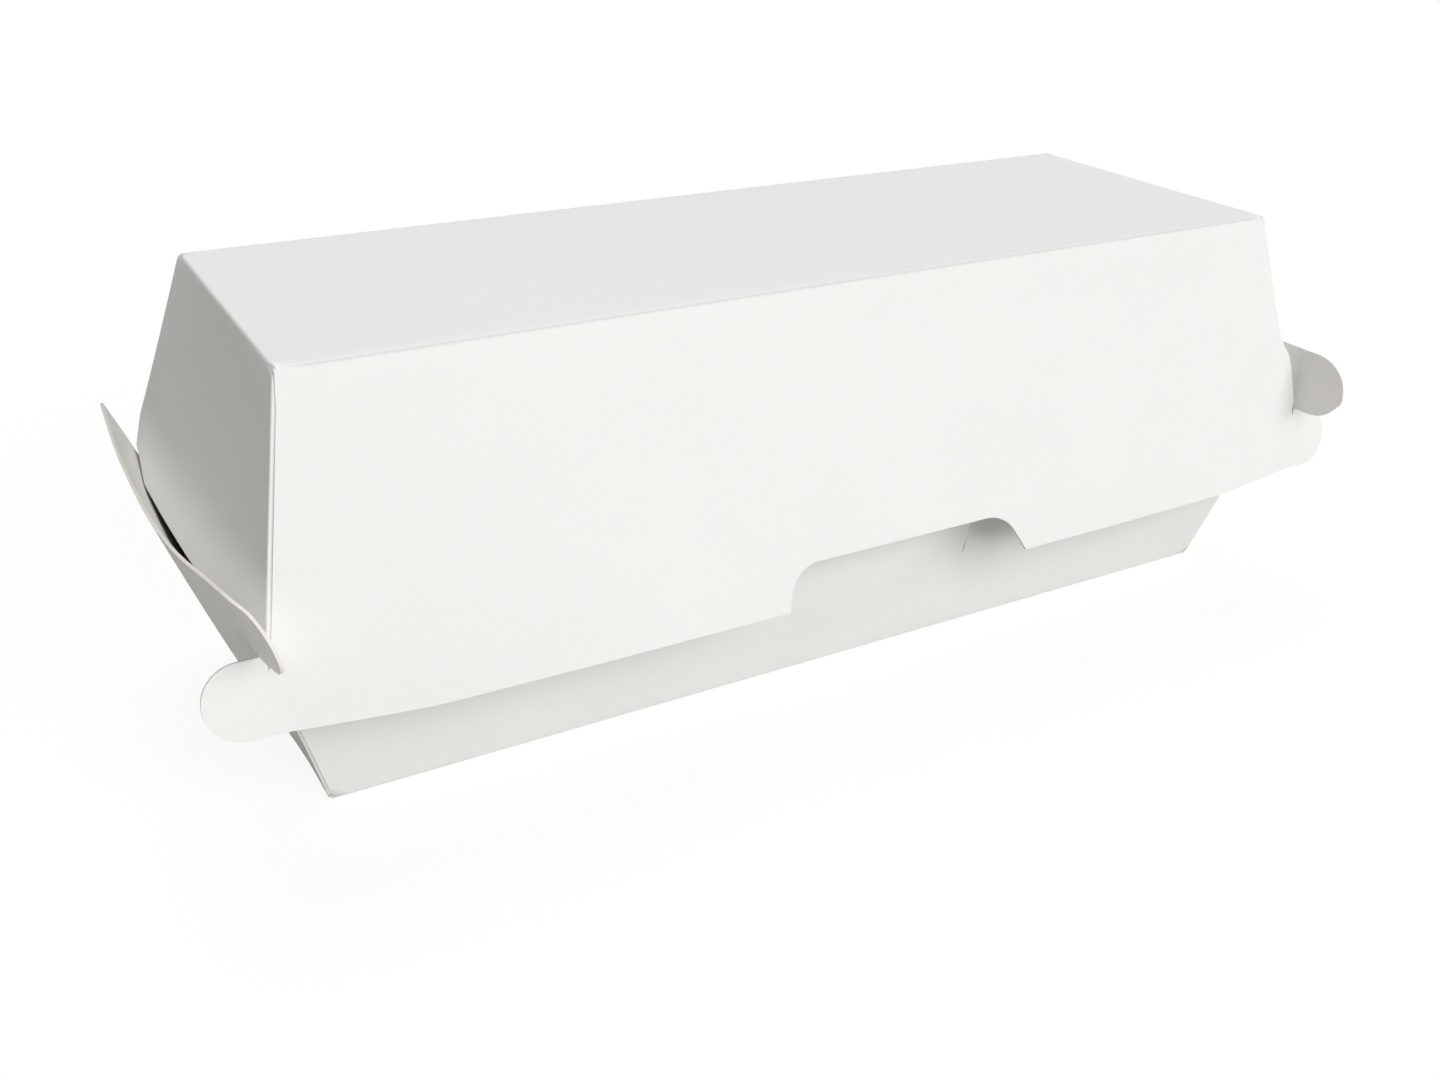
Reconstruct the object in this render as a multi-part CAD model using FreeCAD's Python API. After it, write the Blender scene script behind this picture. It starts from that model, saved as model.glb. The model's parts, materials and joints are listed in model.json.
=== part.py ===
import FreeCAD, Part
import os
from math import sqrt

# A long folded paperboard clamshell box, closed, for one hot snack.
# Millimetres. X runs along the box, Y from the front to the hinge side, Z up.
# The origin is the middle of the tray's underside.
# A lean is how far a wall runs outwards for each millimetre of height.

# The board and the two halves
board = 0.5
tray_length = 190.0
tray_width = 56.7
lid_length = 191.5
lid_width = 64.0
box_height = 75.3

# The crease along the back, where tray and lid are one sheet
hinge_height = 44.6
tray_wall_lean = 0.245
crease_gap = 0.3

# The tray's end walls, bowed outwards and spread further at the back
tray_end_height = 48.0
tray_end_lean_front = 0.27
tray_end_lean_rear = 0.354
tray_end_bow = 2.9

# The tray's front wall, hidden behind the lid's front panel
tray_front_height = 42.0
tray_front_shoulder = 37.0
shoulder_length = 5.0
shoulder_slope_length = 5.0

# The tray's rear wall is cut off at its upper corners, so that the end walls stand free there
tray_rear_shoulder = 38.5

# The lid's end walls hang inside the tray's and bow outwards towards their lower edge
lid_end_bow = 3.6
lid_end_overlap = 10.0
lid_end_clearance_front = 1.6
lid_end_clearance_rear = 0.7
lid_rear_clearance = 0.6

# The lid's front panel
panel_edge_height = 23.0
panel_rise_start = 82.0

# The finger notch in the panel's lower edge, a little right of the middle
notch_left = -18.0
notch_width = 51.0
notch_height = 7.2
notch_left_slope = 1.5
notch_right_slope = 4.2
notch_left_radius = 6.0
notch_right_radius = 7.0

# The press tab in the tray's front wall, behind the notch: cut free on three sides and pushed in
tab_left = 28.0
tab_width = 20.0
tab_bottom = 19.0
tab_height = 11.0
tab_radius = 3.0
tab_slot = 0.5
tab_lean = 0.4

# The lock: the tray's ears reach in front of the lid's panel, and the lid's ears hook under them
tray_ear_height = 10.6
tray_ear_reach = 9.9
tray_ear_top_radius = 8.3
tray_ear_bottom_radius = 2.2
lock_clearance = 0.6
lid_ear_height = 11.6
lid_ear_radius = 5.79
lid_ear_reach = 9.3
slit_depth = 4.6
slit_width = 2.2
slit_inset = 0.9

# The glue flaps behind the front and rear walls, and the bare strip of fold beside each cut edge
flap_width = 14.0
flap_end_slope = 5.0
flap_margin = 1.5
fold_strip = 0.6
fold_strip_depth = 0.25

# Points nearer than this are one point
same_point = 1e-6

# Sizes that follow from the ones above
half_tray_length = tray_length / 2
half_tray_width = tray_width / 2
half_lid_length = lid_length / 2
half_lid_width = lid_width / 2
hinge_y = half_tray_width + tray_wall_lean * hinge_height
lid_wall_lean = (hinge_y - half_lid_width) / (box_height - hinge_height)
lid_end_height = tray_end_height - lid_end_overlap
tray_front_thickness = board * sqrt(1 + tray_wall_lean ** 2)
tray_end_thickness = board * sqrt(1 + tray_end_lean_rear ** 2)
lid_front_thickness = board * sqrt(1 + lid_wall_lean ** 2)
tray_ear_bottom = tray_end_height - tray_ear_height
far = 4 * box_height


def tray_corner_x(lean, z):
    """Outer face of a tray end wall at one of its corners."""
    return half_tray_length + lean * z


def lid_lean(tray_lean, clearance):
    """Lean that brings a lid corner inside the tray's end wall with this clearance."""
    inner = tray_corner_x(tray_lean, lid_end_height) - tray_end_thickness
    return (inner - clearance - half_lid_length) / (box_height - lid_end_height)


lid_end_lean_front = lid_lean(tray_end_lean_front, lid_end_clearance_front)
lid_end_lean_rear = lid_lean(tray_end_lean_rear, lid_end_clearance_rear)
lid_end_thickness = board * sqrt(1 + lid_end_lean_rear ** 2)


def tray_wall_y(z):
    """Outer face of the tray's front and rear walls, as a distance from the middle."""
    return half_tray_width + tray_wall_lean * z


def lid_wall_y(z):
    """Outer face of the lid's front and rear walls, as a distance from the middle."""
    return half_lid_width + lid_wall_lean * (box_height - z)


def lid_corner_x(lean, z):
    """Outer face of a lid end wall at one of its corners."""
    return half_lid_length + lean * (box_height - z)


def outline(points):
    """Closed outline in the XZ plane from (x, z) or (x, z, corner radius) points."""
    corners = [(p[0], p[1], p[2] if len(p) > 2 else 0.0) for p in points]
    edges = []
    stops = []
    for i, (x, z, radius) in enumerate(corners):
        here = FreeCAD.Vector(x, 0, z)
        if radius == 0:
            stops.append((here, here))
            continue
        before = FreeCAD.Vector(corners[i - 1][0], 0, corners[i - 1][1]) - here
        after_point = corners[(i + 1) % len(corners)]
        after = FreeCAD.Vector(after_point[0], 0, after_point[1]) - here
        before.normalize()
        after.normalize()
        middle = before + after
        middle.normalize()
        cosine = before.dot(middle)
        sine = sqrt(1 - cosine ** 2)
        start = here + before * (radius * cosine / sine)
        end = here + after * (radius * cosine / sine)
        top = here + middle * (radius / sine - radius)
        edges.append(Part.Arc(start, top, end).toShape())
        stops.append((start, end))
    for i, (_, end) in enumerate(stops):
        start = stops[(i + 1) % len(stops)][0]
        if (start - end).Length > same_point:
            edges.append(Part.LineSegment(end, start).toShape())
    return Part.Wire(Part.__sortEdges__(edges))


def wall_plate(points, wall_y, depth_from, depth_to, side):
    """Flat piece of a leaning front (side -1) or rear (side +1) wall, cut to an XZ outline.

    The depths are measured inwards along Y from the wall's outer face.
    """
    low = -far
    slab_points = [(wall_y(low), low), (wall_y(far), far)]
    slab_outer = [FreeCAD.Vector(-far, side * (y - depth_from), z) for y, z in slab_points]
    slab_inner = [FreeCAD.Vector(-far, side * (y - depth_to), z) for y, z in reversed(slab_points)]
    slab = Part.Face(Part.makePolygon(slab_outer + slab_inner + slab_outer[:1]))
    slab = slab.extrude(FreeCAD.Vector(2 * far, 0, 0))
    prism = Part.Face(outline(points))
    prism.translate(FreeCAD.Vector(0, -far, 0))
    prism = prism.extrude(FreeCAD.Vector(0, 2 * far, 0))
    return prism.common(slab)


def mirrored(points, direction):
    """The same outline at the right end (+1) or the left end (-1)."""
    return [(direction * p[0],) + tuple(p[1:]) for p in points]


def ring(z, front_x, rear_x, half_y, bow):
    """Level outline with straight front and back and ends that bow outwards."""
    corners = [
        FreeCAD.Vector(-front_x, -half_y, z),
        FreeCAD.Vector(front_x, -half_y, z),
        FreeCAD.Vector(rear_x, half_y, z),
        FreeCAD.Vector(-rear_x, half_y, z),
    ]
    middle_x = (front_x + rear_x) / 2 + bow
    edges = [Part.LineSegment(corners[0], corners[1]).toShape()]
    if bow:
        edges.append(Part.Arc(corners[1], FreeCAD.Vector(middle_x, 0, z), corners[2]).toShape())
    else:
        edges.append(Part.LineSegment(corners[1], corners[2]).toShape())
    edges.append(Part.LineSegment(corners[2], corners[3]).toShape())
    if bow:
        edges.append(Part.Arc(corners[3], FreeCAD.Vector(-middle_x, 0, z), corners[0]).toShape())
    else:
        edges.append(Part.LineSegment(corners[3], corners[0]).toShape())
    return Part.Wire(edges)


def slab_between(low, high):
    """Everything between two heights."""
    return Part.makeBox(2 * far, 2 * far, high - low, FreeCAD.Vector(-far, -far, low))


def tray_body(top, end_inset, wall_inset):
    """Solid block with the tray's outer form, or its inner form when inset."""
    rings = []
    for z in (0, top):
        rings.append(ring(
            z,
            tray_corner_x(tray_end_lean_front, z) - end_inset,
            tray_corner_x(tray_end_lean_rear, z) - end_inset,
            tray_wall_y(z) - wall_inset,
            tray_end_bow * z / tray_end_height,
        ))
    return Part.makeLoft(rings, True, True)


def lid_body(bottom, end_inset, wall_inset):
    """Solid block with the lid's outer form, or its inner form when inset."""
    rings = []
    for z in (bottom, box_height):
        rings.append(ring(
            z,
            lid_corner_x(lid_end_lean_front, z) - end_inset,
            lid_corner_x(lid_end_lean_rear, z) - end_inset,
            lid_wall_y(z) - wall_inset,
            lid_end_bow * (box_height - z) / (box_height - panel_edge_height),
        ))
    return Part.makeLoft(rings, True, True)


def corner_strip(corner_x, low, high, inner, outer):
    """Outline of a strip along a corner, between two distances in from the corner line."""
    return [
        (corner_x(low) - outer, low),
        (corner_x(low) - inner, low),
        (corner_x(high) - inner, high),
        (corner_x(high) - outer, high),
    ]


def glue_flap(corner_x, low, high, wall_y, thickness, side, direction):
    """Glued corner flap behind a front or rear wall, with its two free corners cut off."""
    root = tray_end_thickness / 2
    points = [
        (corner_x(low) - root, low),
        (corner_x(low) - flap_width, low + flap_end_slope),
        (corner_x(high) - flap_width, high - flap_end_slope),
        (corner_x(high) - root, high),
    ]
    return wall_plate(mirrored(points, direction), wall_y, thickness, 2 * thickness, side)


def press_tab_hole():
    """What the press tab leaves open in the tray's front wall."""
    right = tab_left + tab_width
    top = tab_bottom + tab_height
    points = [
        (tab_left, tab_bottom),
        (right, tab_bottom),
        (right, top, tab_radius),
        (tab_left, top, tab_radius),
    ]
    return wall_plate(points, tray_wall_y, -board, 2 * board, -1)


def make_press_tab():
    """Tab that leans into the tray from the lower edge of its hole."""
    left = tab_left + tab_slot
    right = tab_left + tab_width - tab_slot
    top = tab_bottom + tab_height - tab_slot
    root = tab_bottom - 2 * board
    points = [(left, root), (right, root), (right, top, tab_radius), (left, top, tab_radius)]

    def tab_y(z):
        return tray_wall_y(tab_bottom) - tab_lean * (z - tab_bottom)

    tab = wall_plate(points, tab_y, 0, board * sqrt(1 + tab_lean ** 2), -1)
    everything = [(-far, -far), (far, -far), (far, far), (-far, far)]
    return tab.common(wall_plate(everything, tray_wall_y, 0, far, -1))


def make_tray():
    above = tray_end_height + lid_end_overlap
    cavity = tray_body(above, tray_end_thickness, tray_front_thickness)
    cavity = cavity.common(slab_between(board, above))
    tray = tray_body(tray_end_height, 0, 0).cut(cavity)

    # The front wall's top edge, low beside the corners where the lid's end walls pass
    def front_inner_x(z):
        return tray_corner_x(tray_end_lean_front, z) - tray_end_thickness

    low_x = front_inner_x(tray_front_shoulder) - shoulder_length
    rim = [
        (front_inner_x(tray_front_shoulder), tray_front_shoulder),
        (low_x, tray_front_shoulder),
        (low_x - shoulder_slope_length, tray_front_height),
    ]
    above_rim = [(front_inner_x(above), above)] + rim
    above_rim = above_rim + list(reversed(mirrored(above_rim, -1)))
    tray = tray.cut(wall_plate(above_rim, tray_wall_y, -board, 2 * board, -1))

    # The rear wall ends at the crease
    def rear_inner_x(z):
        return tray_corner_x(tray_end_lean_rear, z) - tray_end_thickness

    crease = hinge_height - crease_gap / 2
    above_crease = [
        (rear_inner_x(above), above),
        (rear_inner_x(tray_rear_shoulder), tray_rear_shoulder),
        (lid_corner_x(lid_end_lean_rear, crease), crease),
    ]
    above_crease = above_crease + list(reversed(mirrored(above_crease, -1)))
    tray = tray.cut(wall_plate(above_crease, tray_wall_y, -board, 2 * board, 1))
    tray = tray.cut(press_tab_hole()).fuse(make_press_tab())

    # Glue flaps at the four corners, and the strip of fold that each front flap leaves bare
    front_x = lambda z: tray_corner_x(tray_end_lean_front, z)
    rear_x = lambda z: tray_corner_x(tray_end_lean_rear, z)
    flap_low = flap_margin + board
    for direction in (-1, 1):
        front_top = tray_front_shoulder - flap_margin
        rear_top = tray_rear_shoulder - flap_margin
        tray = tray.fuse([
            glue_flap(front_x, flap_low, front_top, tray_wall_y, tray_front_thickness, -1, direction),
            glue_flap(rear_x, flap_low, rear_top, tray_wall_y, tray_front_thickness, 1, direction),
        ])
        strip = corner_strip(front_x, flap_low, tray_ear_bottom, -board, fold_strip)
        strip = mirrored(strip, direction)
        tray = tray.cut(wall_plate(strip, tray_wall_y, -board, fold_strip_depth, -1))
    return tray.removeSplitter()


def make_tray_ear(direction):
    """Lock ear that carries the tray's end wall on in front of the lid's panel."""
    middle_z = tray_end_height - tray_ear_height / 2
    tip_y = -(lid_wall_y(middle_z) + tray_ear_reach)
    profile = outline([
        (0, tray_ear_bottom),
        (tip_y, tray_ear_bottom, tray_ear_bottom_radius),
        (tip_y, tray_end_height, tray_ear_top_radius),
        (0, tray_end_height),
    ])
    # Turned from the XZ plane into the YZ plane
    profile.rotate(FreeCAD.Vector(0, 0, 0), FreeCAD.Vector(0, 0, 1), 90)
    prism = Part.Face(profile).extrude(FreeCAD.Vector(direction * far, 0, 0))
    heights = (0, tray_end_height + board)
    outer = [(tray_corner_x(tray_end_lean_front, z), z) for z in heights]
    inner = [(x - tray_end_thickness, z) for x, z in reversed(outer)]
    sheet = Part.Face(outline(mirrored(outer + inner, direction)))
    sheet.translate(FreeCAD.Vector(0, -far, 0))
    sheet = sheet.extrude(FreeCAD.Vector(0, 2 * far, 0))
    # The ear starts where the end wall stops, at the front wall's outer face
    ahead = wall_plate(
        [(-far, -far), (far, -far), (far, far), (-far, far)], tray_wall_y, -far, 0, -1
    )
    return prism.common(sheet).common(ahead)


def lid_panel_outline():
    """Front view of the lid's front panel, with its lock ears, slits and finger notch."""
    front_x = lambda z: lid_corner_x(lid_end_lean_front, z)
    ear_top = tray_ear_bottom - lock_clearance
    ear_middle = ear_top - lid_ear_height / 2
    ear_low = ear_top - lid_ear_height
    ear_tip = front_x(ear_middle) + lid_ear_reach
    slit_top = tray_ear_bottom + lock_clearance
    slit_x = front_x(slit_top)
    ear_root = slit_x + slit_width
    edge = panel_edge_height
    right = [
        (front_x(box_height), box_height),
        (slit_x, slit_top),
        (slit_x - slit_inset, slit_top - slit_depth),
        (ear_root, ear_top),
        (ear_tip, ear_top, lid_ear_radius),
        (ear_tip, ear_low, lid_ear_radius),
        (ear_tip - lid_ear_height, ear_low),
        (panel_rise_start, edge),
    ]
    left = list(reversed(mirrored(right, -1)))
    notch_right = notch_left + notch_width
    notch_top = edge + notch_height
    notch = [
        (notch_right, edge),
        (notch_right - notch_right_slope, notch_top, notch_right_radius),
        (notch_left + notch_left_slope, notch_top, notch_left_radius),
        (notch_left, edge),
    ]
    return right + notch + left


def make_lid():
    bottom = panel_edge_height - board
    cavity = lid_body(bottom, lid_end_thickness, lid_front_thickness)
    cavity = cavity.common(slab_between(-far, box_height - board))
    lid = lid_body(bottom, 0, 0).cut(cavity)

    # Behind the front panel the lid stops at the lower edge of its end walls
    def panel_inner_y(z):
        return -(lid_wall_y(z) - lid_front_thickness)

    below = [
        FreeCAD.Vector(-far, panel_inner_y(0), 0),
        FreeCAD.Vector(-far, panel_inner_y(lid_end_height), lid_end_height),
        FreeCAD.Vector(-far, far, lid_end_height),
        FreeCAD.Vector(-far, far, 0),
    ]
    below = Part.Face(Part.makePolygon(below + below[:1]))
    lid = lid.cut(below.extrude(FreeCAD.Vector(2 * far, 0, 0)))

    # Below the crease there is no rear wall, and the end walls stay inside the tray's rear wall
    crease = hinge_height + crease_gap / 2

    def rear_edge_y(z):
        return tray_wall_y(z) - tray_front_thickness - lid_rear_clearance

    behind = [
        FreeCAD.Vector(-far, rear_edge_y(0), 0),
        FreeCAD.Vector(-far, rear_edge_y(crease), crease),
        FreeCAD.Vector(-far, far, crease),
        FreeCAD.Vector(-far, far, 0),
    ]
    behind = Part.Face(Part.makePolygon(behind + behind[:1]))
    lid = lid.cut(behind.extrude(FreeCAD.Vector(2 * far, 0, 0)))

    # The front panel in its true outline: the shell's own front wall is cut to it and the ears join on
    everything = [(-far, -far), (far, -far), (far, lid_end_height), (-far, lid_end_height)]
    lower_front = wall_plate(everything, lid_wall_y, -board, lid_front_thickness, -1)
    panel = wall_plate(lid_panel_outline(), lid_wall_y, 0, lid_front_thickness, -1)
    lid = lid.cut(lower_front).fuse(panel)

    front_x = lambda z: lid_corner_x(lid_end_lean_front, z)
    rear_x = lambda z: lid_corner_x(lid_end_lean_rear, z)
    flap_top = box_height - board - flap_margin
    for direction in (-1, 1):
        front_low = tray_front_height + flap_margin
        rear_low = crease + flap_margin
        lid = lid.fuse([
            glue_flap(front_x, front_low, flap_top, lid_wall_y, lid_front_thickness, -1, direction),
            glue_flap(rear_x, rear_low, flap_top, lid_wall_y, lid_front_thickness, 1, direction),
        ])
        strip = corner_strip(front_x, lid_end_height + flap_margin, flap_top, -board, fold_strip)
        strip = mirrored(strip, direction)
        lid = lid.cut(wall_plate(strip, lid_wall_y, -board, fold_strip_depth, -1))
    return lid.removeSplitter()


def main():
    os.makedirs("parts", exist_ok=True)
    nodes = {
        "tray": make_tray(),
        "lid": make_lid(),
        "left_lock_ear": make_tray_ear(-1),
        "right_lock_ear": make_tray_ear(1),
    }
    for name, shape in nodes.items():
        solids = shape.Solids
        box = shape.optimalBoundingBox()
        print(name, len(solids), "solid", shape.isValid(), "volume %.1f" % shape.Volume)
        print("  x %.2f to %.2f" % (box.XMin, box.XMax), "y %.2f to %.2f" % (box.YMin, box.YMax),
              "z %.2f to %.2f" % (box.ZMin, box.ZMax))
        shape = solids[0] if len(solids) == 1 else shape
        shape.exportStep("parts/" + name + ".step")


main()
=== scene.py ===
import json
import math

import bmesh
import bpy
from mathutils import Matrix, Vector
from mathutils.geometry import delaunay_2d_cdt


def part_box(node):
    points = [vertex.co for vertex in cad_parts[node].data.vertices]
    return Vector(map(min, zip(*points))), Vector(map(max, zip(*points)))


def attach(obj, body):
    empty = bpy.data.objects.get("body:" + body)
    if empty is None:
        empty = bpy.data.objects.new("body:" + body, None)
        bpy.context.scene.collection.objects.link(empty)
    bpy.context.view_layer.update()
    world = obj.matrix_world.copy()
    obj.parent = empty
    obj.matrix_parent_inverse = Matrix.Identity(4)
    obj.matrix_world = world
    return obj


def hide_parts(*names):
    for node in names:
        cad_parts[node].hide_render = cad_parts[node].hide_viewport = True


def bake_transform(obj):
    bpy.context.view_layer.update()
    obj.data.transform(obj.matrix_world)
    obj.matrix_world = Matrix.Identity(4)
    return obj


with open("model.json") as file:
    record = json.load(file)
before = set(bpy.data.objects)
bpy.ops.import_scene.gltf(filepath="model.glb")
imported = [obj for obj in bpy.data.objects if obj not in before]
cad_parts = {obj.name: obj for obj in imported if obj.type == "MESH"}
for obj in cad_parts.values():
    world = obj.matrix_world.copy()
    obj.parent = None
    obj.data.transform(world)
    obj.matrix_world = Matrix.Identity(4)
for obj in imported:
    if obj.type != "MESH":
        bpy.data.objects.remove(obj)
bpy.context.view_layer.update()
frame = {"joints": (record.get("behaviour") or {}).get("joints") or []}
mm = 0.001
hingeY = frame["joints"][0]["pos_m"][1] / mm
hingeZ = frame["joints"][0]["pos_m"][2] / mm
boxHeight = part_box("lid")[1].z / mm
print("frame loaded, hinge at", round(hingeY, 2), round(hingeZ, 2))

# All sizes in this file are millimetres, and heights are measured from the tray's underside

sheet = {
    "board": 0.5,
    "reach": 0.6,          # how far a fold's bend runs on each side of its crease line
    "cornerReach": 0.3,    # the same for the upright folds at the box's corners
    "flapInset": 0.25,     # how far a corner's fold lies behind the wall that covers its flap
    "flapSink": 0.33,      # how much deeper the flap lies once it is under that wall
    "bendRows": 6,
    "groove": 0.12,        # depth of the line that was pressed before folding
    "foldShadeHalfWidth": 0.5,       # half width of the painted shade along a fold
    "spacing": 3.0,        # between the points that fill a panel
    "edgeSpacing": 0.8,    # between the points along curved cuts
    "flapWidth": 14.0,
    "flapSlope": 5.0,
    "flapMargin": 1.5,
    "flapStrip": 1.6,      # the least width of a flap beside its fold
    "flapRadius": 1.5,
    "seam": 0.7,           # half of the strip that bends at the rear crease
    "rowInset": 0.5,       # from the end of a corner's fold to its first point
    "clearance": 0.45,     # share of the spacing that stays free beside an edge
    "mergeDistance": 0.02,
    "sharpAngle": 38,      # in degrees: a sharper edge is shown crisp
}

camera = {
    "place": (-135.57, -224.33, 144.61),
    "turn": 0.520622,      # from straight ahead towards the right, in radians as the next two
    "dip": 0.467357,
    "roll": 0.0192433,
    "lens": 36.289,
    "sensor": 36.0,
    "clip": (5, 20000),
}


# Mesh tools

def bend(start, corner, end, k):
    return start * (1 - k) ** 2 + corner * (2 * k * (1 - k)) + end * k ** 2


def smooth(start, end, value):
    k = min(1.0, max(0.0, (value - start) / (end - start)))
    return k * k * (3 - 2 * k)


def follow(curve, value):
    # smooth line through (position, amount) points, level beyond its ends
    if value <= curve[0][0]:
        return curve[0][1]
    if value >= curve[-1][0]:
        return curve[-1][1]
    last = len(curve) - 1
    i = max(k for k in range(last) if curve[k][0] <= value)
    (x0, y0), (x1, y1) = curve[i], curve[i + 1]
    before, after = curve[max(0, i - 1)], curve[min(last, i + 2)]
    width = x1 - x0
    slope0 = (y1 - before[1]) / (x1 - before[0]) * width
    slope1 = (after[1] - y0) / (after[0] - x0) * width
    k = (value - x0) / width
    return (
        y0 * (2 * k ** 3 - 3 * k ** 2 + 1) + slope0 * (k ** 3 - 2 * k ** 2 + k)
        + y1 * (3 * k ** 2 - 2 * k ** 3) + slope1 * (k ** 3 - k ** 2)
    )


def straight(a, b, step):
    # points from a up to, but without, b
    count = max(1, round(math.dist(a, b) / step))
    return [(a[0] + (b[0] - a[0]) * i / count, a[1] + (b[1] - a[1]) * i / count) for i in range(count)]


def roundedLoop(points, step, curveStep):
    # a closed line through (a, b) or (a, b, corner radius) points
    loop = []
    stops = []
    for i, point in enumerate(points):
        here = Vector(point[:2])
        radius = point[2] if len(point) > 2 else 0
        if not radius:
            stops.append([here])
            continue
        back = (Vector(points[i - 1][:2]) - here).normalized()
        ahead = (Vector(points[(i + 1) % len(points)][:2]) - here).normalized()
        middle = (back + ahead).normalized()
        half = math.acos(max(-1, min(1, back.dot(middle))))
        centre = here + middle * (radius / math.sin(half))
        start = here + back * (radius / math.tan(half)) - centre
        end = here + ahead * (radius / math.tan(half)) - centre
        turn = start.angle_signed(end)
        count = max(2, round(abs(turn) * radius / curveStep))
        stops.append([centre + Matrix.Rotation(-turn * j / count, 2) @ start for j in range(count + 1)])
    for i, arc in enumerate(stops):
        loop += [tuple(p) for p in arc[:-1]]
        nextStart = stops[(i + 1) % len(stops)][0]
        if (arc[-1] - nextStart).length > 1e-6:
            loop += straight(tuple(arc[-1]), tuple(nextStart), step)
        else:
            loop.append(tuple(arc[-1]))
    cleaned = [p for i, p in enumerate(loop) if math.dist(p, loop[i - 1]) > 1e-5]
    return cleaned


def insideLoop(a, b, loop):
    hit = False
    for i in range(len(loop)):
        a0, b0 = loop[i - 1]
        a1, b1 = loop[i]
        if (b0 > b) != (b1 > b) and a < (a1 - a0) * (b - b0) / (b1 - b0) + a0:
            hit = not hit
    return hit


def nearLoop(a, b, loop, distance):
    for p in loop:
        if abs(p[0] - a) < distance and abs(p[1] - b) < distance:
            return True
    return False


def fillOutline(outer, holes, rows):
    # triangles inside an outline, with points along each row so that a fold runs straight
    points = []
    edges = []
    for loop in [outer] + holes:
        first = len(points)
        points += loop
        edges += [(first + i, first + (i + 1) % len(loop)) for i in range(len(loop))]
    for row in rows:
        first = len(points)
        points += row
        edges += [(first + i, first + i + 1) for i in range(len(row) - 1)]
    step = sheet["spacing"]
    lowA, highA = min(p[0] for p in outer), max(p[0] for p in outer)
    lowB, highB = min(p[1] for p in outer), max(p[1] for p in outer)
    taken = list(points)
    for i in range(1, int((highA - lowA) / step)):
        for j in range(1, int((highB - lowB) / step)):
            a, b = lowA + i * step, lowB + j * step
            if nearLoop(a, b, taken, sheet["clearance"] * step):
                continue
            if insideLoop(a, b, outer) and not any(insideLoop(a, b, h) for h in holes):
                points.append((a, b))
    made = delaunay_2d_cdt([Vector(p) for p in points], edges, [], 0, 1e-5)
    flat = [tuple(v) for v in made[0]]
    triangles = []
    for face in made[2]:
        a = sum(flat[i][0] for i in face) / 3
        b = sum(flat[i][1] for i in face) / 3
        if insideLoop(a, b, outer) and not any(insideLoop(a, b, h) for h in holes):
            triangles.append(tuple(face))
    return flat, triangles


def addPatch(bm, outer, holes, rows, place, flip, folded=None):
    # folded(a, b) says how near a point is to a fold line, from 0 to 1
    flat, triangles = fillOutline(outer, holes, rows)
    layer = bm.verts.layers.float.get("fold") or bm.verts.layers.float.new("fold")
    verts = [bm.verts.new(Vector(place(a, b)) * mm) for a, b in flat]
    if folded:
        for vert, (a, b) in zip(verts, flat):
            vert[layer] = folded(a, b)
    for face in triangles:
        corners = [verts[i] for i in (reversed(face) if flip else face)]
        bm.faces.new(corners)


def finishSheet(bm, name, materials, body):
    bmesh.ops.remove_doubles(bm, verts=bm.verts, dist=sheet["mergeDistance"] * mm)
    loose = [v for v in bm.verts if not v.link_faces]
    bmesh.ops.delete(bm, geom=loose, context="VERTS")
    mesh = bpy.data.meshes.new(name)
    bm.to_mesh(mesh)
    bm.free()
    piece = bpy.data.objects.new(name, mesh)
    bpy.context.scene.collection.objects.link(piece)
    for material in materials:
        mesh.materials.append(material)
    solid = piece.modifiers.new("board", "SOLIDIFY")
    solid.thickness = sheet["board"] * mm
    solid.offset = -1
    solid.use_even_offset = False
    solid.material_offset = 1       # the inside of the board
    solid.material_offset_rim = 2   # the cut edges
    bpy.context.view_layer.update()
    shown = piece.evaluated_get(bpy.context.evaluated_depsgraph_get())
    final = bpy.data.meshes.new_from_object(shown)
    piece.modifiers.clear()
    piece.data = final
    final.name = name
    for polygon in final.polygons:
        polygon.use_smooth = True
    final.set_sharp_from_angle(angle=math.radians(sheet["sharpAngle"]))
    if body:
        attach(piece, body)
    print(name, len(final.polygons), "faces")
    return piece


# The way a long strip of board runs, seen from the end of the box: straight runs and bends

def makeProfile(corners):
    starts = [0.0]
    for a, b in zip(corners, corners[1:]):
        starts.append(starts[-1] + math.dist(a, b))
    reach = sheet["reach"]

    def onRun(s):
        i = 0
        while i < len(corners) - 2 and s > starts[i + 1]:
            i += 1
        a, b = Vector(corners[i]), Vector(corners[i + 1])
        return a + (b - a) * ((s - starts[i]) / (starts[i + 1] - starts[i]))

    def place(s):
        for i in range(1, len(corners) - 1):
            off = s - starts[i]
            if abs(off) < reach:
                before, after = onRun(starts[i] - reach), onRun(starts[i] + reach + 1e-9)
                inward = ((before + after) / 2 - Vector(corners[i])).normalized()
                groove = sheet["groove"] * (1 - abs(off) / reach) ** 2
                point = bend(before, Vector(corners[i]), after, (off + reach) / (2 * reach))
                return point + inward * groove
        return onRun(s)

    folds = starts[1:-1]
    return place, folds, starts


# how near a point lies to a fold, from 0 to 1: the mask for the painted shade along folds
def nearFold(folds, s):
    return max(max(0.0, 1 - abs(s - fold) / sheet["foldShadeHalfWidth"]) for fold in folds)


def foldRows(folds, halfWidth):
    rows = []
    reach = sheet["reach"]
    for fold in folds:
        for i in range(sheet["bendRows"] + 1):
            s = fold - reach + 2 * reach * i / sheet["bendRows"]
            row = straight((-halfWidth(s), s), (halfWidth(s), s), sheet["spacing"])
            rows.append(row[1:])
    return rows


# The lid: front panel, top and rear wall are one strip, and each end wall carries two glue flaps

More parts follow.
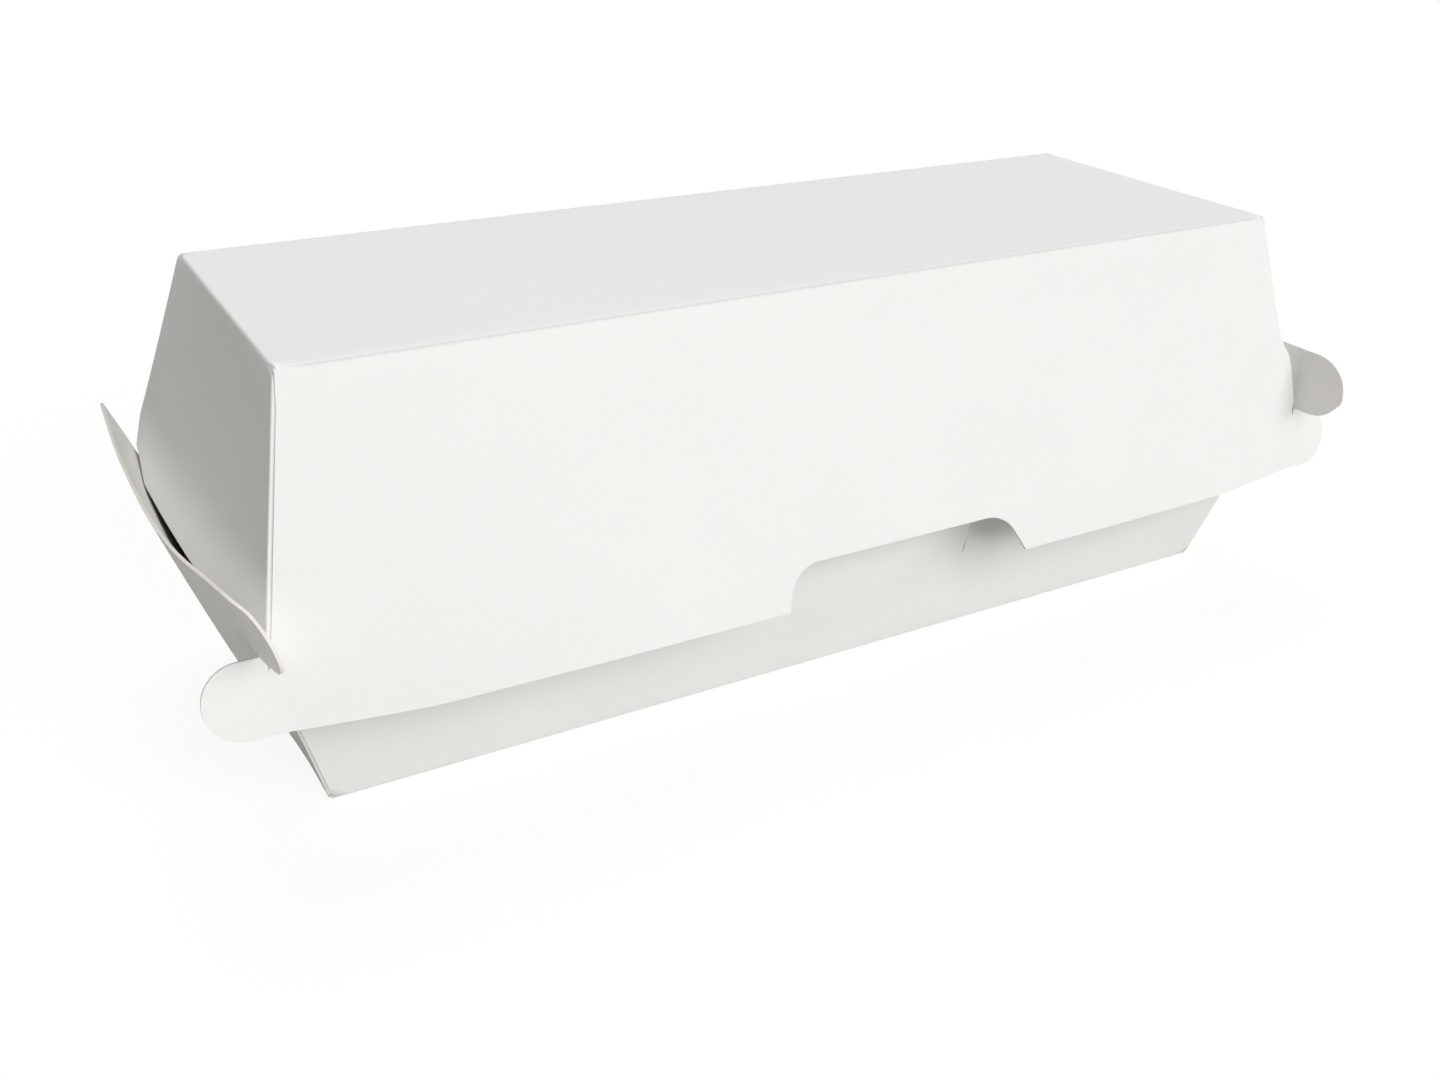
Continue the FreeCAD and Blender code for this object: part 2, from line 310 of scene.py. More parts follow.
lidShape = {
    "halfLength": {-1: 96.15, 1: 95.75},
    "halfWidth": 32.0,
    "endLeanFront": 0.2,
    "endLeanRear": 0.31,
    "endHeight": 38.0,     # where an end wall has its full bow
    "mostFall": 1.05,      # below it the bow grows on up to this share of its fall
    "lowEdge": {-1: 38.0, 1: 41.0},        # its lower edge, inside the tray
    "lowCut": (13.0, 2.0),                 # that edge slants up beside the rear wall
    "tongue": {-1: 4.0, 1: 3.0},           # width of the part that runs down to a lock ear
    "tongueEnd": 36.6,
    "tipRadius": 0.5,
    "edgeRadius": 1.0,
    "stripRadius": 0.6,
    "wideStrip": 4.0,      # the flap stays behind the panel's edge where the corner stands off
    "frontFlapLow": 43.5,
    "trayGap": 0.65,       # from the tray's rear wall to an end wall's rear edge
    "edgeHeight": 24.0,    # the front panel's lower edge
    "riseStart": 82.0,     # where that edge starts to rise to the ears
    "panelBow": 2.0,
    "bowReach": 103.0,
    "earRadius": {-1: 5.8, 1: 5.8},
    "earMiddle": {-1: 31.0, 1: 30.9},
    "earTip": {-1: 113.8, 1: 112.6},
    "slitTop": 36.95,
    "slitFoot": {-1: (103.85, 34.4), 1: (103.85, 35.3)},
    "slitEdge": {-1: 103.4, 1: 103.6},
    "earRoot": 104.0,
    "edgeInset": {-1: 0.65, 1: 0.5},       # from the corner line in to the panel's cut edge
    "edgeStart": 2.5,      # above the slit, where that edge runs straight
    "edgeStop": 5.0,       # below the top, where it ends
    "topInset": 0.2,
    # the right end's lower front corner stands off the panel by this much at each height
    "cornerFlare": [(36, 1.3), (38, 1.5), (42, 1.7), (47.5, 1.8), (50.5, 0.45), (58, 0.0)],
    "flareReach": 0.5,     # share of the wall's width
    "notch": [(31.4, 24.0), (26.9, 31.4, 7.0), (-17.9, 31.4, 6.0), (-19.4, 24.0)],
    "crown": 0.6,
    "endHollow": 1.4,      # how far an end wall sinks in halfway up
    # outward bow of an end wall's lower edge, from the front corner to the rear one
    "endBow": [(-40, 0.0), (-29, 1.2), (-20, 2.15), (-9.5, 2.5), (6, 2.4), (15, 2.2), (25, 1.8), (37, 0.6)],
}
lidLean = (hingeY - lidShape["halfWidth"]) / (boxHeight - hingeZ)


def lidWallY(z):
    return lidShape["halfWidth"] + lidLean * (boxHeight - z)


def lidCornerX(side, z, rear):
    lean = lidShape["endLeanRear"] if rear else lidShape["endLeanFront"]
    return lidShape["halfLength"][side] + lean * (boxHeight - z)


def makeLid(materials):
    shape = lidShape
    reach = sheet["reach"]
    low = shape["edgeHeight"]
    seam = hingeZ + sheet["seam"]
    corners = [
        (-lidWallY(low), low),
        (-shape["halfWidth"], boxHeight),
        (shape["halfWidth"], boxHeight),
        (lidWallY(seam), seam),
    ]
    profile, folds, starts = makeProfile(corners)
    slope = math.hypot(1, lidLean)

    def frontS(z):
        return (z - low) * slope

    def rearS(z):
        return starts[2] + (boxHeight - z) * slope

    def place(x, s):
        y, z = profile(s)
        if s < starts[1]:
            across = 1 - min(1, abs(x) / shape["bowReach"]) ** 4
            down = 1 - smooth(0, starts[1], s)
            y -= shape["panelBow"] * across * down
        elif s < starts[2]:
            k = (s - starts[1]) / (starts[2] - starts[1])
            z += shape["crown"] * math.sin(math.pi * k) * (1 - (x / shape["halfLength"][-1]) ** 2)
        return (x, y, z)

    def sideLine(side):
        length, tip, inset = shape["halfLength"][side], shape["earTip"][side], shape["edgeInset"][side]
        radius, middle = shape["earRadius"][side], shape["earMiddle"][side]
        top, crease = length - reach, length - shape["topInset"]
        edgeStart, edgeStop = shape["slitTop"] + shape["edgeStart"], boxHeight - shape["edgeStop"]
        return [
            (tip - 2 * radius, frontS(middle - radius)),
            (tip, frontS(middle - radius), radius),
            (tip, frontS(middle + radius), radius),
            (shape["earRoot"], frontS(middle + radius)),
            (shape["slitFoot"][side][0], frontS(shape["slitFoot"][side][1])),
            (shape["slitEdge"][side], frontS(shape["slitTop"])),
            (lidCornerX(side, edgeStart, False) - inset, frontS(edgeStart)),
            (lidCornerX(side, edgeStop, False) - inset, frontS(edgeStop)),
            (crease, starts[1] - reach),
            (crease, starts[1]),
            (top, starts[1] + reach),
            (top, starts[2] - reach),
            (top, starts[2]),
            (lidCornerX(side, seam, True) - reach, rearS(seam)),
        ]

    left = [(-p[0],) + p[1:] for p in reversed(sideLine(-1))]
    notch = [(p[0], frontS(p[1])) + p[2:] for p in reversed(shape["notch"])]
    outline = sideLine(1) + left + [(-shape["riseStart"], 0)] + notch + [(shape["riseStart"], 0)]
    outline = roundedLoop(outline, sheet["spacing"], sheet["edgeSpacing"])
    bm = bmesh.new()
    rows = foldRows(folds, lambda s: shape["halfLength"][1] - reach)
    addPatch(bm, outline, [], rows, place, False, lambda x, s: nearFold(folds, s))

    # End walls, with glue flaps that turn in behind the front panel and the rear wall
    def halfWidth(z):
        return lidWallY(z) - sheet["flapInset"]

    def wall(side, y, z):
        k = (y / halfWidth(z) + 1) / 2
        x = lidCornerX(side, z, False) * (1 - k) + lidCornerX(side, z, True) * k
        if side > 0:
            x += follow(shape["cornerFlare"], z) * (1 - smooth(0, shape["flareReach"], k))
        fall = min(shape["mostFall"], (boxHeight - z) / (boxHeight - shape["endHeight"]))
        x -= shape["endHollow"] * math.sin(math.pi * min(1, fall)) * math.sin(math.pi * min(1, max(0, k)))
        x += follow(shape["endBow"], y) * fall ** 3
        return Vector((x, y, z))

    def endT(z):
        return boxHeight - z + reach

    def endPlace(side):
        def place(u, t):
            if t >= 2 * reach:
                z = boxHeight - (t - reach)
                point = aroundCorner(wall, side, u, z, halfWidth(z))
            else:
                crease = Vector((shape["halfLength"][side], u, boxHeight))
                foot = aroundCorner(wall, side, u, boxHeight - reach, halfWidth(boxHeight - reach))
                point = bend(crease - Vector((reach, 0, 0)), crease, foot, t / (2 * reach))
            return (side * point.x, point.y, point.z)
        return place

    width, slopeEnd, strip = sheet["flapWidth"], sheet["flapSlope"], sheet["flapStrip"]
    flapTop = boxHeight - 2 * reach
    rearLow = seam + sheet["flapMargin"]
    frontLow, frontEnd = shape["frontFlapLow"], shape["tongueEnd"]
    wideStrip, flapRadius, rowInset = shape["wideStrip"], sheet["flapRadius"], sheet["rowInset"]

    def trayRear(z):
        return trayWallY(z) - shape["trayGap"]

    rows = []
    for i in range(1, sheet["bendRows"] + 1):
        t = 2 * reach * i / sheet["bendRows"]
        half = halfWidth(boxHeight - reach * i / sheet["bendRows"])
        rows.append(straight((-half, t), (half, t), sheet["spacing"])[1:])
    frontFoot = shape["endHeight"] + 2 * rowInset
    rows += cornerRows(halfWidth, endT, flapTop - rowInset, frontFoot, rearLow + rowInset)
    cutRun, cutRise = shape["lowCut"]
    tipRadius, edgeRadius = shape["tipRadius"], shape["edgeRadius"]
    for side in (-1, 1):
        lowEdge, tongue = shape["lowEdge"][side], shape["tongue"][side]
        outline = [
            (-halfWidth(boxHeight), 0),
            (halfWidth(boxHeight), 0),
            (halfWidth(boxHeight - reach), 2 * reach),
            (halfWidth(flapTop) + strip, endT(flapTop)),
            (halfWidth(flapTop - slopeEnd) + width, endT(flapTop - slopeEnd), flapRadius),
            (halfWidth(rearLow + slopeEnd) + width, endT(rearLow + slopeEnd), flapRadius),
            (halfWidth(rearLow) + strip, endT(rearLow)),
            (halfWidth(seam), endT(seam)),
            (trayRear(seam), endT(seam)),
            (trayRear(lowEdge + cutRise), endT(lowEdge + cutRise), tipRadius),
            (trayRear(lowEdge) - cutRun, endT(lowEdge), edgeRadius),
            (tongue - halfWidth(frontEnd), endT(lowEdge), edgeRadius),
            (-halfWidth(frontEnd), endT(frontEnd), tipRadius),
            (-halfWidth(frontEnd) - wideStrip, endT(frontEnd), shape["stripRadius"]),
            (-halfWidth(frontLow) - wideStrip, endT(frontLow)),
            (-halfWidth(frontLow + slopeEnd) - width, endT(frontLow + slopeEnd), flapRadius),
            (-halfWidth(flapTop - slopeEnd) - width, endT(flapTop - slopeEnd), flapRadius),
            (-halfWidth(flapTop) - strip, endT(flapTop)),
            (-halfWidth(boxHeight - reach), 2 * reach),
        ]
        outline = roundedLoop(outline, sheet["spacing"], sheet["edgeSpacing"])
        addPatch(bm, outline, [], rows, endPlace(side), side > 0, lambda u, t: nearFold([reach], t))
    piece = finishSheet(bm, "lid_sheet", materials, "lid")
    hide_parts("lid")


def flapSink(past):
    return sheet["flapSink"] * smooth(sheet["cornerReach"], sheet["flapStrip"], past)


def aroundCorner(wall, side, u, z, half, folded=True):
    # a point on an end wall or, beyond half its width, on the flap that turns in from it
    reach = sheet["cornerReach"]
    end = 1 if u > 0 else -1
    past = abs(u) - half
    if past <= -reach or not folded:
        return wall(side, u, z)
    corner = wall(side, end * half, z)
    if past >= reach:
        return corner - Vector((past, end * flapSink(past), 0))
    start = wall(side, end * (half - reach), z)
    turned = corner - Vector((reach, 0, 0))
    return bend(start, corner, turned, (past + reach) / (2 * reach))


def cornerRows(halfWidth, toT, high, frontLow, rearLow):
    # points along the upright bends where an end wall turns into its flaps
    rows = []
    reach = sheet["cornerReach"]
    for side, low in ((-1, frontLow), (1, rearLow)):
        for i in range(sheet["bendRows"] + 1):
            off = reach * (2 * i / sheet["bendRows"] - 1)
            count = max(2, round(abs(high - low) / sheet["spacing"]))
            heights = [low + (high - low) * j / count for j in range(count + 1)]
            rows.append([(side * (halfWidth(z) + off), toT(z)) for z in heights])
    return rows


# The tray: front wall, floor and rear wall are one strip, and the end walls carry flaps and lock ears

trayShape = {
    "halfLength": 95.0,
    "halfWidth": 28.35,
    "lean": 0.245,
    "endLean": 0.246,
    "endHeight": 48.0,
    # outward bow of the end walls' top edge, from the ear's tip to the rear corner
    "leftBow": [
        (-52, -2.8), (-50.5, -2.0), (-48.5, -1.0), (-46, 0.0), (-43.5, 1.2), (-40.2, 2.0), (-35, 3.1),
        (-30.4, 4.2), (-24.7, 5.2), (-13.9, 6.2), (0, 6.5), (17.5, 6.3), (40.4, 5.2),
    ],
    "rightBow": [
        (-50, 3.5), (-47, 2.2), (-44.5, 1.5), (-42, 1.2), (-38, 1.05), (-30, 1.3), (-20, 3.0),
        (-8, 4.6), (5, 5.2), (18, 5.2), (40.4, 4.4),
    ],
    # the bow grows with height: late beside the corners, early and fuller between them
    "cornerPower": (2.6, 1.8),
    "bulgeRun": 16.0,
    "bulge": 0.1,
    "frontHeight": 42.0,
    "shoulder": 37.0,
    "shoulderLength": 5.0,
    "shoulderSlope": 5.0,
    "shoulderRadius": 2.0,
    "rearShoulder": 37.5,
    "rearStep": (42.5, 0.1),   # height above which the rear wall narrows, and its inset there
    "sideSteps": 6,
    "earBottom": {-1: 37.4, 1: 36.75},
    "earTip": -49.6,
    "earRootInset": 0.5,
    "split": 0.4,          # height of the cut between an ear or a rim corner and the flap
    "earTopRadius": 8.3,
    "earBottomRadius": {-1: 2.2, 1: 4.6},
    "tabLeft": (28.4, 27.4),   # at the foot and at the top
    "tabRight": 48.0,
    "tabBottom": 17.6,
    "tabTop": 30.0,
    "tabRadius": 3.0,
    "tabSlot": 0.2,
    "tabFootSlot": 0.05,
    "tabRow": 0.7,         # between the rows of points in its bend
    "tabRows": 7,
    "tabSpacing": (1.0, 0.5, 1.5),   # between points along edges, round corners and in rows
    "tabPush": 0.35,       # how far the tab runs inwards for each millimetre of height
    "tabBend": 3.0,        # height over which it bends away from the wall
    # the wall gives way a little where the tab is pushed in: x, z, both spreads and the depth
    "dents": [(26, 16, 7, 7, 0.9), (36, 14, 9, 4, -0.5)],
}


def trayWallY(z):
    return trayShape["halfWidth"] + trayShape["lean"] * z


def trayEndX(side, y, z):
    shape = trayShape
    bow = follow(shape["rightBow"] if side > 0 else shape["leftBow"], y)
    up = z / shape["endHeight"]
    inner = smooth(0, shape["bulgeRun"], trayWallY(z) - abs(y))
    corner = up ** (shape["cornerPower"][0] if y < 0 else shape["cornerPower"][1])
    bulge = up + shape["bulge"] * math.sin(math.pi * min(1, up))
    return shape["halfLength"] + shape["endLean"] * z + bow * (corner * (1 - inner) + bulge * inner)


def makeTray(materials):
    shape = trayShape
    reach = sheet["reach"]
    seam = hingeZ - sheet["seam"]
    front = shape["frontHeight"]
    corners = [
        (-trayWallY(front), front),
        (-shape["halfWidth"], 0),
        (shape["halfWidth"], 0),
        (trayWallY(seam), seam),
    ]
    profile, folds, starts = makeProfile(corners)
    slope = math.hypot(1, shape["lean"])

    def frontS(z):
        return (front - z) * slope

    def rearS(z):
        return starts[2] + z * slope

    def frontX(side, z):
        return trayEndX(side, -trayWallY(z), z) - reach

    def rearX(side, z):
        return trayEndX(side, trayWallY(z), z) - reach

    def dent(x, z):
        total = 0.0
        for dentX, dentZ, wide, high, depth in shape["dents"]:
            total += depth * math.exp(-(((x - dentX) / wide) ** 2 + ((z - dentZ) / high) ** 2))
        return total

    def place(x, s):
        y, z = profile(s)
        if s < starts[1]:
            y += dent(x, z)
        return (x, y, z)

    base = shape["halfLength"] - reach
    shoulder, rearShoulder = shape["shoulder"], shape["rearShoulder"]
    steps = shape["sideSteps"]
    heights = [shoulder * i / steps for i in range(1, steps)]
    rearHeights = [rearShoulder * i / steps for i in range(1, steps)]
    rearStep, stepInset = shape["rearStep"]

    def sideLine(side):
        inner = frontX(side, shoulder) - shape["shoulderLength"]
        line = [
            (inner - shape["shoulderSlope"], 0.0, shape["shoulderRadius"]),
            (inner, frontS(shoulder), shape["shoulderRadius"]),
            (frontX(side, shoulder), frontS(shoulder)),
        ]
        line += [(frontX(side, z), frontS(z)) for z in reversed(heights)]
        line += [(base, starts[1]), (base, starts[1] + reach), (base, starts[2] - reach), (base, starts[2])]
        line += [(rearX(side, z), rearS(z)) for z in rearHeights]
        line += [(rearX(side, rearShoulder), rearS(rearShoulder))]
        line += [(lidCornerX(side, rearStep, True) - stepInset, rearS(rearStep))]
        line += [(lidCornerX(side, hingeZ, True) - reach, rearS(seam))]
        return line

    left = [(-p[0],) + p[1:] for p in reversed(sideLine(-1))]
    outline = roundedLoop(sideLine(1) + left, sheet["spacing"], sheet["edgeSpacing"])
    tabLeft, tabRight, tabBottom = shape["tabLeft"], shape["tabRight"], shape["tabBottom"]
    tabTop = shape["tabTop"]
    along, around, across = shape["tabSpacing"]
    hole = [
        (tabLeft[0], frontS(tabBottom)),
        (tabRight, frontS(tabBottom)),
        (tabRight, frontS(tabTop), shape["tabRadius"]),
        (tabLeft[1], frontS(tabTop), shape["tabRadius"]),
    ]
    hole = roundedLoop(hole, along, around)
    bm = bmesh.new()
    rows = foldRows(folds, lambda s: base)
    addPatch(bm, outline, [hole], rows, place, True, lambda x, s: nearFold(folds, s))

    # The press tab bends away from the wall along its lower edge
    def tabPlace(x, s):
        y, z = profile(s)
        rise = z - tabBottom
        bendLength = shape["tabBend"]
        if rise < bendLength:
            push = shape["tabPush"] * rise ** 2 / (2 * bendLength)
        else:
            push = shape["tabPush"] * (rise - bendLength / 2)
        return (x, y + dent(x, z) * max(0, 1 - rise / bendLength) + push, z)

    slot = shape["tabSlot"]
    tab = [
        (tabLeft[0] + shape["tabFootSlot"], frontS(tabBottom)),
        (tabRight - slot, frontS(tabBottom)),
        (tabRight - slot, frontS(tabTop - slot), shape["tabRadius"]),
        (tabLeft[1] + slot, frontS(tabTop - slot), shape["tabRadius"]),
    ]
    tab = roundedLoop(tab, along, around)
    rows = []
    for i in range(1, shape["tabRows"] + 1):
        s = frontS(tabBottom + i * shape["tabRow"])
        rows.append(straight((tabLeft[0] + slot, s), (tabRight - slot, s), across)[1:])
    addPatch(bm, tab, [], rows, tabPlace, True)

    def halfWidth(z):
        return trayWallY(z) - sheet["flapInset"]

    def wall(side, y, z):
        return Vector((trayEndX(side, y, z), y, z))

    def endT(z):
        return z + reach

    def splitHeight(side):
        return shape["earBottom"][side] - shape["split"]

    def endPlace(side):
        def place(u, t):
            if t >= 2 * reach:
                z = t - reach
                folded = z < (splitHeight(side) if u < 0 else rearShoulder)
                point = aroundCorner(wall, side, u, z, halfWidth(z), folded)
            else:
                crease = Vector((shape["halfLength"], u, 0))
                foot = aroundCorner(wall, side, u, reach, halfWidth(reach))
                point = bend(crease - Vector((reach, 0, 0)), crease, foot, t / (2 * reach))
            return (side * point.x, point.y, point.z)
        return place

    width, slopeEnd, strip = sheet["flapWidth"], sheet["flapSlope"], sheet["flapStrip"]
    flapRadius, rowInset, cut = sheet["flapRadius"], sheet["rowInset"], shape["split"]
    low = 2 * reach
    frontTop = shoulder - sheet["flapMargin"]
    rearTop = rearShoulder - sheet["flapMargin"]
    top = shape["endHeight"]
    for side in (-1, 1):
        split, earBottom = splitHeight(side), shape["earBottom"][side]
        outline = [
            (halfWidth(0), 0),
            (-halfWidth(0), 0),
            (-halfWidth(reach), 2 * reach),
            (-halfWidth(low) - strip, endT(low)),
            (-halfWidth(low + slopeEnd) - width, endT(low + slopeEnd), flapRadius),
            (-halfWidth(frontTop - slopeEnd) - width, endT(frontTop - slopeEnd), flapRadius),
            (-halfWidth(frontTop) - strip, endT(frontTop)),
            (-halfWidth(split), endT(split)),
            (-halfWidth(earBottom) - shape["earRootInset"], endT(earBottom)),
            (shape["earTip"], endT(earBottom), shape["earBottomRadius"][side]),
            (shape["earTip"], endT(top), shape["earTopRadius"]),
            (halfWidth(top), endT(top), cut),
            (halfWidth(rearShoulder + cut), endT(rearShoulder + cut)),
            (halfWidth(rearShoulder) - cut, endT(rearShoulder)),
            (halfWidth(rearTop) + strip, endT(rearTop)),
            (halfWidth(rearTop - slopeEnd) + width, endT(rearTop - slopeEnd), flapRadius),
            (halfWidth(low + slopeEnd) + width, endT(low + slopeEnd), flapRadius),
            (halfWidth(low) + strip, endT(low)),
            (halfWidth(reach), 2 * reach),
        ]
        outline = roundedLoop(outline, sheet["spacing"], sheet["edgeSpacing"])
        rows = []
        for i in range(1, sheet["bendRows"] + 1):
            t = 2 * reach * i / sheet["bendRows"]
            half = halfWidth(reach * i / sheet["bendRows"])
            rows.append(straight((-half, t), (half, t), sheet["spacing"])[1:])
        rows += cornerRows(halfWidth, endT, low + rowInset, frontTop - rowInset, rearTop - rowInset)
        addPatch(bm, outline, [], rows, endPlace(side), side < 0, lambda u, t: nearFold([reach], t))
    piece = finishSheet(bm, "tray_sheet", materials, "tray")
    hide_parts("tray", "left_lock_ear", "right_lock_ear")


# The rear crease: a narrow strip of the same board across the hinge, joining the tray's rear wall to the
# lid's

creaseShape = {"rows": 9, "columns": 60}


def makeCrease(materials):
    seam = sheet["seam"]
    top, bottom = hingeZ + seam, hingeZ - seam
    rows, columns = creaseShape["rows"], creaseShape["columns"]
    left = sheet["reach"] - lidCornerX(-1, hingeZ, True)
    right = lidCornerX(1, hingeZ, True) - sheet["reach"]
    step = (right - left) / columns
    bm = bmesh.new()
    grid = []
    for i in range(rows + 1):
        z = bottom + (top - bottom) * i / rows
        y = trayWallY(z) if z < hingeZ else lidWallY(z)
        grid.append([bm.verts.new(Vector((left + step * j, y, z)) * mm) for j in range(columns + 1)])
    for lower, upper in zip(grid, grid[1:]):
        for j in range(columns):
            bm.faces.new([lower[j + 1], lower[j], upper[j], upper[j + 1]])
    piece = finishSheet(bm, "rear_crease", materials, None)
    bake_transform(piece)


# White board: a matt coated face, a plainer inside and fibrous cut edges

boardLook = {
    "boardFace": {"colour": (0.89, 0.89, 0.88), "clouds": 0.7, "depth": 0.06},
    "boardInside": {"colour": (0.86, 0.845, 0.815), "clouds": 0.6, "depth": 0.1},
    "boardCut": {"colour": (0.84, 0.82, 0.775), "clouds": 0.2, "depth": 0.15},
}

grain = {
    # painted shade in the creases: the colour at a fold's middle is multiplied by foldShade
    "foldShade": 0.82,
    "fibreScale": 900.0,
    "fibreDetail": 3,
    "fibreRoughness": 0.6,
    "cloudScale": 35.0,
    "cloudDetail": 2,
    "shade": (0.94, 1.03),      # the colour is multiplied by this
    "roughness": (0.42, 0.62),
    "bump": 0.25,
    "gloss": 0.35,
}


def addNode(tree, kind, **values):
    node = tree.nodes.new(kind)
    for name, value in values.items():
        setattr(node, name, value)
    return node


def addRange(tree, low, high):
    node = addNode(tree, "ShaderNodeMapRange")
    node.inputs["To Min"].default_value = low
    node.inputs["To Max"].default_value = high
    return node


def makeBoardGroup():
    group = bpy.data.node_groups.new("boardGrain", "ShaderNodeTree")
    sockets = group.interface
    for name, kind in (("Colour", "NodeSocketColor"), ("Clouds", "NodeSocketFloat"),
                       ("Fibre Scale", "NodeSocketFloat"), ("Cloud Scale", "NodeSocketFloat"),
                       ("Fold", "NodeSocketFloat")):
        sockets.new_socket(name=name, in_out="INPUT", socket_type=kind)
    for name, kind in (("Colour", "NodeSocketColor"), ("Roughness", "NodeSocketFloat"),
                       ("Height", "NodeSocketFloat")):
        sockets.new_socket(name=name, in_out="OUTPUT", socket_type=kind)
    inside = addNode(group, "NodeGroupInput")
    outside = addNode(group, "NodeGroupOutput")
    spot = addNode(group, "ShaderNodeTexCoord")
    fibre = addNode(group, "ShaderNodeTexNoise")
    fibre.inputs["Detail"].default_value = grain["fibreDetail"]
    fibre.inputs["Roughness"].default_value = grain["fibreRoughness"]
    clouds = addNode(group, "ShaderNodeTexNoise")
    clouds.inputs["Detail"].default_value = grain["cloudDetail"]
    links = group.links
    for texture, scale in ((fibre, "Fibre Scale"), (clouds, "Cloud Scale")):
        links.new(spot.outputs["Object"], texture.inputs["Vector"])
        links.new(inside.outputs[scale], texture.inputs["Scale"])
    shade = addRange(group, *grain["shade"])
    blend = addNode(group, "ShaderNodeMix", data_type="FLOAT")
    links.new(inside.outputs["Clouds"], blend.inputs["Factor"])
    links.new(fibre.outputs["Fac"], blend.inputs["A"])
    links.new(clouds.outputs["Fac"], blend.inputs["B"])
    links.new(blend.outputs["Result"], shade.inputs["Value"])
    tint = addNode(group, "ShaderNodeVectorMath", operation="SCALE")
    links.new(inside.outputs["Colour"], tint.inputs["Vector"])
    # painted shade: the colour darkens towards each fold line
    paintedFoldShade = addRange(group, 1.0, grain["foldShade"])
    greyed = addNode(group, "ShaderNodeMath", operation="MULTIPLY")
    links.new(inside.outputs["Fold"], paintedFoldShade.inputs["Value"])
    links.new(paintedFoldShade.outputs["Result"], greyed.inputs[0])
    links.new(shade.outputs["Result"], greyed.inputs[1])
    links.new(greyed.outputs["Value"], tint.inputs["Scale"])
    links.new(tint.outputs["Vector"], outside.inputs["Colour"])
    rough = addRange(group, *grain["roughness"])
    links.new(clouds.outputs["Fac"], rough.inputs["Value"])
    links.new(rough.outputs["Result"], outside.inputs["Roughness"])
    links.new(fibre.outputs["Fac"], outside.inputs["Height"])
    return group


def makeBoardMaterial(name, look, group):
    material = bpy.data.materials.new(name)
    material.use_nodes = True
    tree = material.node_tree
    shader = tree.nodes["Principled BSDF"]
    board = addNode(tree, "ShaderNodeGroup", node_tree=group)
    board.inputs["Colour"].default_value = (*look["colour"], 1)
    board.inputs["Clouds"].default_value = look["clouds"]
    board.inputs["Fibre Scale"].default_value = grain["fibreScale"]
    board.inputs["Cloud Scale"].default_value = grain["cloudScale"]
    bump = addNode(tree, "ShaderNodeBump")
    bump.inputs["Strength"].default_value = grain["bump"]
    bump.inputs["Distance"].default_value = look["depth"] * mm
    fold = addNode(tree, "ShaderNodeAttribute", attribute_name="fold")
    tree.links.new(fold.outputs["Fac"], board.inputs["Fold"])
    tree.links.new(board.outputs["Colour"], shader.inputs["Base Color"])
    tree.links.new(board.outputs["Roughness"], shader.inputs["Roughness"])
    tree.links.new(board.outputs["Height"], bump.inputs["Height"])
    tree.links.new(bump.outputs["Normal"], shader.inputs["Normal"])
    shader.inputs["Specular IOR Level"].default_value = grain["gloss"]
    return material


# Floor, light and camera

studio = {
    "ambient": (0.124, 0.12, 0.113),
    "lamps": {
        "frontLamp": {"from": (0.0, -0.5, 0.3), "spread": 36, "power": 1.21},
        "sideLamp": {"from": (0.35, -0.5, 0.25), "spread": 36, "power": 1.3},
        "topLamp": {"from": (0.05, 0.25, 0.45), "spread": 36, "power": 1.3},
    },
    "floorSize": 8000,
    "floor": (0.65, 0.637, 0.612),
    "floorRoughness": 0.9,
    "floorGlow": 1.125,
    "floorShare": 0.8,    # how much of the floor that the camera sees is plain white
}


def makeFloor():
    bpy.ops.mesh.primitive_plane_add(size=studio["floorSize"] * mm, location=(0, 0, 0))
    floor = bpy.context.object
    floor.name = "floor"
    material = bpy.data.materials.new("paleFloor")
    material.use_nodes = True
    tree = material.node_tree
    shader = tree.nodes["Principled BSDF"]
    shader.inputs["Base Color"].default_value = (*studio["floor"], 1)
    shader.inputs["Roughness"].default_value = studio["floorRoughness"]
    shader.inputs["Specular IOR Level"].default_value = 0.0
    white = addNode(tree, "ShaderNodeEmission")
    white.inputs["Strength"].default_value = studio["floorGlow"]
    path = addNode(tree, "ShaderNodeLightPath")
    share = addNode(tree, "ShaderNodeMath", operation="MULTIPLY")
    share.inputs[1].default_value = studio["floorShare"]
    mixed = addNode(tree, "ShaderNodeMixShader")
    tree.links.new(path.outputs["Is Camera Ray"], share.inputs[0])
    tree.links.new(share.outputs["Value"], mixed.inputs["Fac"])
    tree.links.new(shader.outputs["BSDF"], mixed.inputs[1])
    tree.links.new(white.outputs["Emission"], mixed.inputs[2])
    tree.links.new(mixed.outputs["Shader"], tree.nodes["Material Output"].inputs["Surface"])
    floor.data.materials.append(material)


